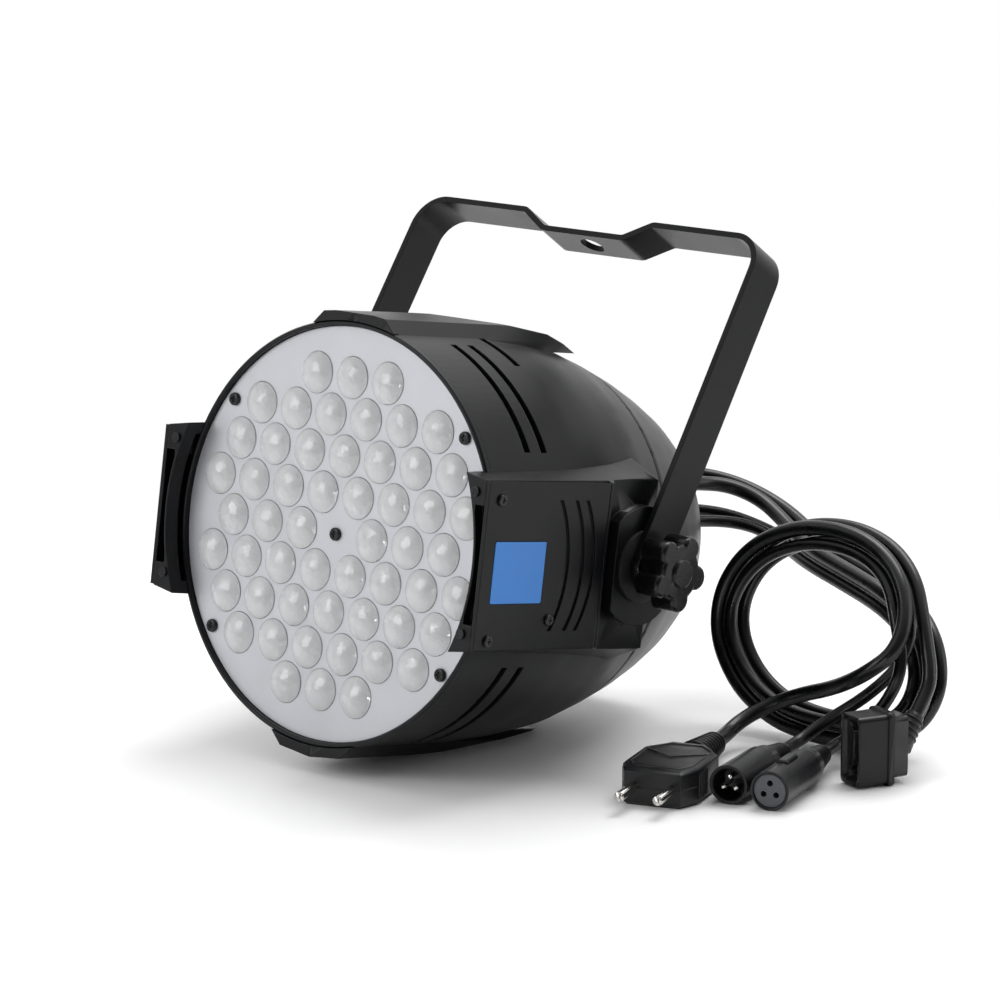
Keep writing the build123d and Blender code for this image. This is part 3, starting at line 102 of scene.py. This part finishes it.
# gland: its middle on the rear panel; place: the tail's lane in the bundle; first and last: points before and
# after the bundle; runs in millimetres, length and diameter in metres
TAILS = {
    "mains_in": {
        "gland": (26.0, 30.0), "run": 18.0, "place": (4.2, -5.2), "length": 0.722, "diameter": 0.0076,
        "first": [(34, 155, 104), (51, 161, 98), (74, 154, 89)],
        "last": [(205, 72, 58), (195, 64, 48), (181, 66, 40), (165, 71, 33), (150, 73, 28), (138, 70, 23),
                 (129, 62, 18), (125, 51.5, 13)],
        "end": PLUG_TAIL, "entry": PLUG_WAY, "last_run": 12.5, "far": "plug"},
    "mains_out": {
        "gland": (6.0, 33.0), "run": 18.0, "place": (4.2, 5.2), "length": 0.652, "diameter": 0.0070,
        "first": [(14, 157, 107), (30, 167, 103), (51, 169, 97), (75, 163, 90)],
        "last": [(212, 88, 58), (217, 84, 48)],
        "end": SOCKET_TAIL, "entry": SOCKET_WAY, "last_run": 14.0, "far": "connector"},
    "dmx_in": {
        "gland": (6.0, 13.0), "run": 17.0, "place": (-4.2, 5.2), "length": 0.636, "diameter": 0.0062,
        "first": [(14, 151, 89), (29, 161, 87), (48, 164, 83), (72, 161, 78)],
        "last": [(198, 89, 51), (193, 82, 41), (184, 75, 31), (174.5, 67.5, 23), (166.5, 58, 15)],
        "end": XLR_MALE_TAIL, "entry": XLR_MALE_WAY, "last_run": 12.0, "far": "connector"},
    "dmx_out": {
        "gland": (26.0, 10.0), "run": 16.5, "place": (-4.2, -5.2), "length": 0.600, "diameter": 0.0062,
        "first": [(36, 150, 86), (52, 156, 84), (72, 153, 79)],
        "last": [(202, 81, 53), (203, 77, 43), (199, 74, 32.5), (192, 71.5, 22.5), (184.5, 67, 14)],
        "end": XLR_FEMALE_TAIL, "entry": XLR_FEMALE_WAY, "last_run": 13.0, "far": "connector"},
}


def lane(outward, back):
    """The bundle's line moved outward from its turn and back along the turn's axis."""
    middle = [Vector(point) for point in BUNDLE]
    moved = []
    for i, point in enumerate(middle):
        ahead = middle[min(i + 1, len(middle) - 1)] - middle[max(i - 1, 0)]
        out_dir = ahead.cross(Vector((0, 1, 0))).normalized()
        moved.append(point + out_dir * outward + out_dir.cross(ahead).normalized() * back)
    return moved


def cord_points(tail):
    """The control points of one tail, in metres."""
    x, z = tail["gland"]
    start = [placed(x / MM, (PANEL_BACK + GLAND_LENGTH + run) / MM, z / MM) for run in (0, tail["run"])]
    route = [Vector(p) for p in tail["first"]] + lane(*tail["place"]) + [Vector(p) for p in tail["last"]]
    route += [tail["end"] - tail["entry"] * tail["last_run"], tail["end"]]
    return start + [point / MM for point in route]


cords = {}
for tail_name, tail in TAILS.items():
    points = cord_points(tail)
    curve = bpy.data.curves.new(f"cable_{tail_name}", "CURVE")
    curve.dimensions = "3D"
    curve.bevel_depth = tail["diameter"] / 2
    curve.bevel_resolution = 6
    curve.use_fill_caps = True
    spline = curve.splines.new("NURBS")
    spline.points.add(len(points) - 1)
    for point, place in zip(spline.points, points):
        point.co = (*place, 1.0)
    spline.order_u = 3
    spline.use_endpoint_u = True
    spline.resolution_u = 10
    cords[tail_name] = bpy.data.objects.new(f"cable_{tail_name}", curve)
    scene.collection.objects.link(cords[tail_name])


# ---------------------------------------------------------------- materials
def colour(code):
    """An sRGB hex value as linear colour."""
    channels = [int(code[i:i + 2], 16) / 255 for i in (1, 3, 5)]
    return (*[c / 12.92 if c <= 0.04045 else ((c + 0.055) / 1.055) ** 2.4 for c in channels], 1.0)


def add(tree, kind, links=None, values=None, **settings):
    """One more node in a tree, with its settings, its socket values and what feeds its sockets."""
    node = tree.nodes.new(kind)
    for key, value in settings.items():
        setattr(node, key, value)
    for key, value in (values or {}).items():
        node.inputs[key].default_value = value
    for key, socket in (links or {}).items():
        tree.links.new(socket, node.inputs[key])
    return node


MIX_A, MIX_B, MIX_COLOUR = 6, 7, 2    # a Mix node's two colour inputs and its colour output
NOISE_LOW, NOISE_HIGH = 0.3, 0.7      # most of a noise's values lie between these


def finish_of(name, pale, deep, roughness, spread=0.06, mottle_mm=14.0, grain_mm=0.8, depth_mm=0.02,
              stretch=(1, 1, 1), edge_mm=0.4, **sockets):
    """A finish with slow mottling between two colours, uneven gloss, a fine grain and softened edges."""
    material = bpy.data.materials.new(name)
    material.use_nodes = True
    tree = material.node_tree
    tree.nodes.clear()
    place = add(tree, "ShaderNodeTexCoord")
    mapped = add(tree, "ShaderNodeMapping", {"Vector": place.outputs["Object"]}, {"Scale": stretch})
    mottle = add(tree, "ShaderNodeTexNoise", {"Vector": mapped.outputs[0]},
                 {"Scale": MM / mottle_mm, "Detail": 3.0})
    grain = add(tree, "ShaderNodeTexNoise", {"Vector": mapped.outputs[0]},
                {"Scale": MM / grain_mm, "Detail": 2.0})
    tint = add(tree, "ShaderNodeMix", {"Factor": mottle.outputs["Fac"]}, data_type="RGBA")
    tint.inputs[MIX_A].default_value = colour(deep)
    tint.inputs[MIX_B].default_value = colour(pale)
    gloss = add(tree, "ShaderNodeMapRange", {"Value": mottle.outputs["Fac"]},
                {"From Min": NOISE_LOW, "From Max": NOISE_HIGH,
                 "To Min": roughness - spread, "To Max": roughness + spread})
    edge = add(tree, "ShaderNodeBevel", values={"Radius": edge_mm / MM}, samples=6)
    bump = add(tree, "ShaderNodeBump", {"Height": grain.outputs["Fac"], "Normal": edge.outputs[0]},
               {"Strength": 0.5, "Distance": depth_mm / MM})
    shader = add(tree, "ShaderNodeBsdfPrincipled",
                 {"Base Color": tint.outputs[MIX_COLOUR], "Roughness": gloss.outputs[0],
                  "Normal": bump.outputs[0]}, sockets)
    add(tree, "ShaderNodeOutputMaterial", {"Surface": shader.outputs[0]})
    return material


# die-cast aluminium under satin black powder coat: a fine orange peel and soft highlights
powder_coat = finish_of("black_powder_coat", "#0c0d10", "#060709", 0.34, 0.04, 30, 0.9, 0.03, edge_mm=0.8,
                        **{"Specular IOR Level": 0.22})
# folded mild steel under the same coat: a little glossier on the flat faces
coated_steel = finish_of("coated_steel_bar", "#0c0d0f", "#060708", 0.32, 0.04, 40, 0.8, 0.02,
                         **{"Specular IOR Level": 0.2})
# spray-painted aluminium plate: matt light grey with a faint sparkle
silver_plate = finish_of("silver_painted_plate", "#bdbec3", "#b0b1b6", 0.45, 0.06, 22, 0.5, 0.015,
                         Metallic=0.3)
# injection-moulded acrylic collimators, clear and glossy
clear_acrylic = finish_of("clear_acrylic_lens", "#ffffff", "#f1f3f6", 0.07, 0.03, 9, 3.2, 0.8,
                          **{"Transmission Weight": 0.55, "IOR": 1.49})
white_holder = finish_of("white_moulded_holder", "#e6e6e2", "#dadad6", 0.5)
phosphor = finish_of("phosphor_dome", "#e0c850", "#cfb43c", 0.3, 0.04, 2.0, 0.3, 0.01)
mill_aluminium = finish_of("mill_aluminium", "#b9bbbe", "#a4a6aa", 0.38, 0.06, 18, 0.6, 0.02, (1, 8, 8),
                           Metallic=1.0)
zinc_plate = finish_of("zinc_plated_steel", "#b4b6b8", "#9a9c9f", 0.3, 0.06, 6, 0.4, 0.01, Metallic=1.0)
black_zinc = finish_of("black_zinc_screw", "#15161a", "#0c0c0f", 0.28, 0.05, 4, 0.4, 0.01, Metallic=0.3)
solder_mask = finish_of("green_solder_mask", "#1d5a34", "#154527", 0.3)
winding_tape = finish_of("winding_tape", "#d9bb3a", "#c2a22c", 0.45)
can_sleeve = finish_of("capacitor_sleeve", "#182040", "#10162e", 0.25)
ferrite = finish_of("pressed_ferrite", "#3a3a3d", "#2a2a2c", 0.6)
tinted_acrylic = finish_of("tinted_acrylic_window", "#2a0c10", "#1c080b", 0.1, 0.02, 20, 2.0, 0.005)
moulded_abs = finish_of("moulded_black_abs", "#17181a", "#101113", 0.45, 0.05, 16, 0.6, 0.03)
grey_abs = finish_of("moulded_grey_abs", "#4a4b4e", "#3c3d40", 0.45, 0.05, 8, 0.5, 0.02)
nylon = finish_of("moulded_nylon", "#141415", "#0d0d0e", 0.42, 0.05, 8, 0.6, 0.03)
blue_label = finish_of("blue_label_film", "#2f7fd0", "#2874c4", 0.34, 0.04, 30, 1.2, 0.004)
rubber = finish_of("moulded_rubber", "#161617", "#0e0e0f", 0.65, 0.06, 6, 0.5, 0.05)
phenolic = finish_of("moulded_phenolic", "#0e0e10", "#08080a", 0.26, 0.05, 10, 0.9, 0.02, edge_mm=0.7,
                     **{"Specular IOR Level": 0.3})
pvc_jacket = finish_of("pvc_cable_jacket", "#0d0e10", "#07080a", 0.3, 0.06, 12, 0.7, 0.04,
                       **{"Specular IOR Level": 0.4})
soft_pvc = finish_of("moulded_pvc", "#101114", "#090a0c", 0.36, 0.06, 10, 0.6, 0.04,
                     **{"Specular IOR Level": 0.35})
nickel = finish_of("nickel_plate", "#d9d7d2", "#c6c4bf", 0.16, 0.04, 3, 0.3, 0.004, Metallic=1.0)
# the pin holes sit close together here, so the edges are softened less
insert_plastic = finish_of("grey_insert_plastic", "#4b4c50", "#404145", 0.45, 0.05, 6, 0.5, 0.02,
                           edge_mm=0.12)

SLOT_MATERIALS = {
    "black_casting": powder_coat, "black_steel": coated_steel, "plate_silver": silver_plate,
    "lens_clear": clear_acrylic, "holder_white": white_holder, "led_yellow": phosphor,
    "bare_aluminium": mill_aluminium, "zinc_steel": zinc_plate, "black_screw": black_zinc,
    "board_green": solder_mask, "winding_yellow": winding_tape, "capacitor_blue": can_sleeve,
    "ferrite_grey": ferrite, "window_tint": tinted_acrylic, "display_black": moulded_abs,
    "button_grey": grey_abs, "fan_black": moulded_abs, "gland_black": nylon, "label_blue": blue_label,
    "rubber_black": rubber, "knob_black": phenolic, "cable_pvc": pvc_jacket, "plug_black": soft_pvc,
    "contact_nickel": nickel, "insert_grey": insert_plastic,
}
slot_of = {entry["node"]: entry["material_slot"] for entry in frame["record"]["subparts"]}
body_of = {node: body for body, members in frame["record"]["behaviour"]["bodies"].items() for node in members}
for name, material_slot in slot_of.items():
    nodes[name].data.materials.clear()
    nodes[name].data.materials.append(SLOT_MATERIALS[material_slot])


def add_piece(name, mesh, node_names, body):
    """A finished mesh as a piece that stands for CAD nodes and moves with a body."""
    piece = bpy.data.objects.new(name, mesh)
    scene.collection.objects.link(piece)
    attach(piece, body)
    if node_names:
        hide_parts(*node_names)
    return piece


# degrees, by the first word of a node's name; faces that meet flatter than this shade as one
SMOOTH_BELOW = {"body": 25, "rear": 32, "side": 9, "yoke": 20}
SMOOTH_ELSEWHERE = 30
SAME_POINT = 2e-6                    # metres; triangle corners nearer than this are one point


def rounded_copy(node, name):
    """A CAD node's shape with its triangles joined up, so that its curved faces shade as curves."""
    mesh = nodes[node].data.copy()
    mesh.name = name
    work = bmesh.new()
    work.from_mesh(mesh)
    bmesh.ops.remove_doubles(work, verts=work.verts, dist=SAME_POINT)
    work.to_mesh(mesh)
    work.free()
    mesh.shade_smooth()
    mesh.set_sharp_from_angle(angle=radians(SMOOTH_BELOW.get(node.split("_")[0], SMOOTH_ELSEWHERE)))
    piece = add_piece(name, mesh, [node], body_of[node])
    weighted = piece.modifiers.new("even_shading", "WEIGHTED_NORMAL")
    weighted.keep_sharp = True
    return piece


ROUNDED = {
    "body_right": "can_half_right", "body_left": "can_half_left", "rear_cap": "rear_cap_casting",
    "front_bezel": "bezel_ring", "side_box_right": "box_casting_right", "side_box_left": "box_casting_left",
    "yoke": "yoke_bar", "knob_right": "clamp_knob_right", "knob_left": "clamp_knob_left",
    "plug_body": "plug_moulding", "socket_body": "socket_moulding", "xlr_male_shell": "pin_connector_shell",
    "xlr_female_shell": "hole_connector_shell",
    "plug_pins": "plug_contacts", "xlr_male_pins": "connector_contacts",
    "strain_relief_mains_in": "gland_mains_in", "strain_relief_mains_out": "gland_mains_out",
    "strain_relief_dmx_in": "gland_dmx_in", "strain_relief_dmx_out": "gland_dmx_out",
}
rounded = {node: rounded_copy(node, name) for node, name in ROUNDED.items()}


# ---------------------------------------------------------------- moulded ribs on the cable boots
def rib_tree():
    """Round ribs in a row along Z, each a little smaller or larger than the one before."""
    tree = bpy.data.node_groups.new("boot_ribs", "GeometryNodeTree")
    face = tree.interface
    face.new_socket("Geometry", in_out="OUTPUT", socket_type="NodeSocketGeometry")
    face.new_socket("Geometry", in_out="INPUT", socket_type="NodeSocketGeometry")
    face.new_socket("Count", in_out="INPUT", socket_type="NodeSocketInt")
    for label in ("Gap", "First Radius", "Last Radius", "Rib Thickness"):
        face.new_socket(label, in_out="INPUT", socket_type="NodeSocketFloat")
    face.new_socket("Material", in_out="INPUT", socket_type="NodeSocketMaterial")
    given = add(tree, "NodeGroupInput").outputs
    step = add(tree, "ShaderNodeCombineXYZ", {"Z": given["Gap"]})
    row = add(tree, "GeometryNodeMeshLine", {"Count": given["Count"], "Offset": step.outputs[0]})
    circle = add(tree, "GeometryNodeCurvePrimitiveCircle", values={"Resolution": 48, "Radius": 1.0})
    profile = add(tree, "GeometryNodeCurvePrimitiveCircle", {"Radius": given["Rib Thickness"]},
                  {"Resolution": 8})
    hoop = add(tree, "GeometryNodeCurveToMesh",
               {"Curve": circle.outputs[0], "Profile Curve": profile.outputs[0]})
    which = add(tree, "GeometryNodeInputIndex")
    size = add(tree, "ShaderNodeMapRange",
               {"Value": which.outputs[0], "From Max": given["Count"], "To Min": given["First Radius"],
                "To Max": given["Last Radius"]})
    copies = add(tree, "GeometryNodeInstanceOnPoints",
                 {"Points": row.outputs[0], "Instance": hoop.outputs[0], "Scale": size.outputs[0]})
    real = add(tree, "GeometryNodeRealizeInstances", {0: copies.outputs[0]})
    painted = add(tree, "GeometryNodeSetMaterial",
                  {"Geometry": real.outputs[0], "Material": given["Material"]})
    add(tree, "NodeGroupOutput", {0: painted.outputs[0]})
    return tree


RIBS = rib_tree()


def plain_mesh(maker):
    """What an object's curve or modifiers make, as a mesh, with the object itself taken away."""
    made = bpy.data.meshes.new_from_object(maker.evaluated_get(bpy.context.evaluated_depsgraph_get()))
    bpy.data.objects.remove(maker)
    made.shade_smooth()
    return made


def boot_ribs(name, start, way, count, gap, first, last, thick):
    """Ribs round a boot that starts at a point and runs one way; sizes in millimetres."""
    holder = bpy.data.objects.new(name, bpy.data.meshes.new(name))
    scene.collection.objects.link(holder)
    modifier = holder.modifiers.new("ribs", "NODES")
    modifier.node_group = RIBS
    wanted = {"Count": count, "Gap": gap / MM, "First Radius": first / MM, "Last Radius": last / MM,
              "Rib Thickness": thick / first, "Material": soft_pvc}
    for item in RIBS.interface.items_tree:
        if item.in_out == "INPUT" and item.name in wanted:
            modifier[item.identifier] = wanted[item.name]
    holder.update_tag()
    made = plain_mesh(holder)
    made.name = name
    made.transform(Matrix.Translation(start / MM) @ way.to_track_quat("Z", "Y").to_matrix().to_4x4())
    return add_piece(name, made, [], "lamp")


plug_ribs = boot_ribs("plug_boot_ribs", PLUG_TAIL + PLUG_WAY * 4, PLUG_WAY,
                      count=8, gap=4.0, first=5.3, last=8.0, thick=0.8)
pin_ribs = boot_ribs("pin_connector_boot_ribs", XLR_MALE_TAIL + XLR_MALE_WAY * 3, XLR_MALE_WAY,
                     count=6, gap=3.0, first=4.4, last=6.6, thick=0.55)
hole_ribs = boot_ribs("hole_connector_boot_ribs", XLR_FEMALE_TAIL + XLR_FEMALE_WAY * 3, XLR_FEMALE_WAY,
                      count=6, gap=3.0, first=4.4, last=6.6, thick=0.55)
socket_ribs = boot_ribs("socket_boot_ribs", SOCKET_TAIL + SOCKET_WAY * 3, SOCKET_WAY,
                        count=4, gap=3.0, first=4.9, last=5.9, thick=0.6)
PLUG_ACROSS = Vector((cos(radians(PLUG_YAW)), sin(radians(PLUG_YAW)), 0))


def moulded_line(name, corners, radius, closed=False):
    """A raised bead on the plug; its corners are given across it, ahead of its tail and above its middle."""
    bead = bpy.data.curves.new(name, "CURVE")
    bead.dimensions = "3D"
    bead.bevel_depth = radius / MM
    bead.bevel_resolution = 3
    bead.use_fill_caps = True
    run = bead.splines.new("POLY")
    run.points.add(len(corners) - 1)
    for point, (side, ahead, height) in zip(run.points, corners):
        point.co = (*(PLUG_TAIL + PLUG_ACROSS * side + PLUG_WAY * ahead + Vector((0, 0, height))) / MM, 1.0)
    run.use_cyclic_u = closed
    maker = bpy.data.objects.new(name, bead)
    scene.collection.objects.link(maker)
    made = plain_mesh(maker)
    made.materials.clear()
    made.materials.append(soft_pvc)
    return add_piece(name, made, [], "lamp")


TOP = 8.9                            # just in the plug's top face
EDGE = 15.5                          # the top frame's sides, in from the plug's own
GRIP_SIDE = 18.9                     # just in the plug's side faces
GRIP_START, GRIP_GAP, GRIP_HALF, GRIP_COUNT = 69, 2.6, 6, 5
plug_lines = [
    moulded_line("plug_top_vee", [(-EDGE, 56, TOP), (0, 67, TOP), (EDGE, 56, TOP)], 0.7),
    moulded_line("plug_top_frame",
                 [(-EDGE, 52, TOP), (-EDGE, 79, TOP), (-11.5, 86, TOP), (11.5, 86, TOP), (EDGE, 79, TOP),
                  (EDGE, 52, TOP), (8, 43, TOP), (-8, 43, TOP)], 0.55, True),
    moulded_line("plug_parting_line",
                 [(-19, 68, 0), (-19, 80, 0), (-14, 92, 0), (14, 92, 0), (19, 80, 0), (19, 68, 0),
                  (9, 38, 0), (-9, 38, 0)], 0.3, True),
]
for side_name, side in (("left", -GRIP_SIDE), ("right", GRIP_SIDE)):
    for i in range(GRIP_COUNT):
        ahead = GRIP_START + i * GRIP_GAP
        plug_lines.append(moulded_line(f"plug_grip_{side_name}_{i + 1}",
                                       [(side, ahead, -GRIP_HALF), (side, ahead, GRIP_HALF)], 0.6))

for tail_name, tail in TAILS.items():
    cable = cords[tail_name]
    cable.data.materials.append(pvc_jacket)
    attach(cable, "lamp")
    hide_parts(f"cord_{tail_name}")
    cord_points(tail)[0]

# ---------------------------------------------------------------- floor and light
FLOOR_SIZE = 12.0
NEAR, FAR = 0.30, 0.62               # the floor keeps its shade up to NEAR, and is plain white past FAR
WHITE_WALL_WAY = (-0.45, 0.62, 0.64)
DARK_ROOM = 0.07                     # strength of the light from the side that the lamp faces
WHITE = (1, 1, 1, 1)


def floor_material():
    """Pale matt card that fades to plain white away from the lamp."""
    material = bpy.data.materials.new("pale_card")
    material.use_nodes = True
    tree = material.node_tree
    tree.nodes.clear()
    place = add(tree, "ShaderNodeTexCoord")
    reach = add(tree, "ShaderNodeVectorMath", {0: place.outputs["Object"]}, operation="LENGTH")
    fade = add(tree, "ShaderNodeMapRange", {"Value": reach.outputs["Value"]},
               {"From Min": NEAR, "From Max": FAR}, interpolation_type="SMOOTHSTEP")
    rays = add(tree, "ShaderNodeLightPath")
    shown = add(tree, "ShaderNodeMath",
                {0: rays.outputs["Is Camera Ray"], 1: rays.outputs["Is Transmission Ray"]},
                operation="MAXIMUM")
    factor = add(tree, "ShaderNodeMath", {0: shown.outputs[0], 1: fade.outputs[0]}, operation="MULTIPLY")
    card = add(tree, "ShaderNodeBsdfPrincipled", values={"Base Color": colour("#fbfbfb"), "Roughness": 0.32})
    white = add(tree, "ShaderNodeEmission", values={"Color": WHITE, "Strength": 1.0})
    mixed = add(tree, "ShaderNodeMixShader",
                {0: factor.outputs[0], 1: card.outputs[0], 2: white.outputs[0]})
    add(tree, "ShaderNodeOutputMaterial", {"Surface": mixed.outputs[0]})
    return material


floor_mesh = bpy.data.meshes.new("floor")
half = FLOOR_SIZE / 2
floor_corners = [(-half, -half, 0), (half, -half, 0), (half, half, 0), (-half, half, 0)]
floor_mesh.from_pydata(floor_corners, [], [(0, 1, 2, 3)])
floor_mesh.materials.append(floor_material())
floor = bpy.data.objects.new("floor", floor_mesh)
scene.collection.objects.link(floor)


def studio_world():
    """A white wall behind and above the lamp, a dark room on the side that it faces, white to the camera."""
    world = bpy.data.worlds.new("studio")
    world.use_nodes = True
    tree = world.node_tree
    tree.nodes.clear()
    rays = add(tree, "ShaderNodeLightPath")
    way = add(tree, "ShaderNodeTexCoord")
    towards = add(tree, "ShaderNodeVectorMath", {0: way.outputs["Generated"]}, operation="DOT_PRODUCT")
    towards.inputs[1].default_value = WHITE_WALL_WAY
    strength = add(tree, "ShaderNodeMapRange", {"Value": towards.outputs["Value"]},
                   {"From Min": -0.35, "From Max": 0.75, "To Min": DARK_ROOM, "To Max": 1.0},
                   interpolation_type="SMOOTHSTEP")
    fill = add(tree, "ShaderNodeBackground", {"Strength": strength.outputs[0]}, {"Color": WHITE})
    white = add(tree, "ShaderNodeBackground", values={"Color": WHITE, "Strength": 1.0})
    mixed = add(tree, "ShaderNodeMixShader",
                {0: rays.outputs["Is Camera Ray"], 1: fill.outputs[0], 2: white.outputs[0]})
    add(tree, "ShaderNodeOutputWorld", {"Surface": mixed.outputs[0]})
    return world


scene.world = studio_world()


def softbox(name, place, aim, width, height, power):
    """A rectangular studio light aimed at a point."""
    data = bpy.data.lights.new(name, "AREA")
    data.shape = "RECTANGLE"
    data.size = width
    data.size_y = height
    data.energy = power
    light = bpy.data.objects.new(name, data)
    light.location = place
    light.rotation_euler = (Vector(aim) - Vector(place)).to_track_quat("-Z", "Y").to_euler()
    scene.collection.objects.link(light)


# metres and watts
softbox("overhead", place=(-0.1, 0.7, 1.6), aim=(0, 0, 0.1), width=1.4, height=0.9, power=22.0)
softbox("front", place=(-0.8, -1.7, 0.9), aim=(0, 0, 0.1), width=1.1, height=1.1, power=19.0)
softbox("right", place=(1.5, 1.1, 0.8), aim=(0.1, 0, 0.1), width=0.3, height=1.2, power=4.0)
softbox("sparkle", place=(1.0, -1.5, 0.25), aim=(0, 0, 0.1), width=0.16, height=0.16, power=2.2)
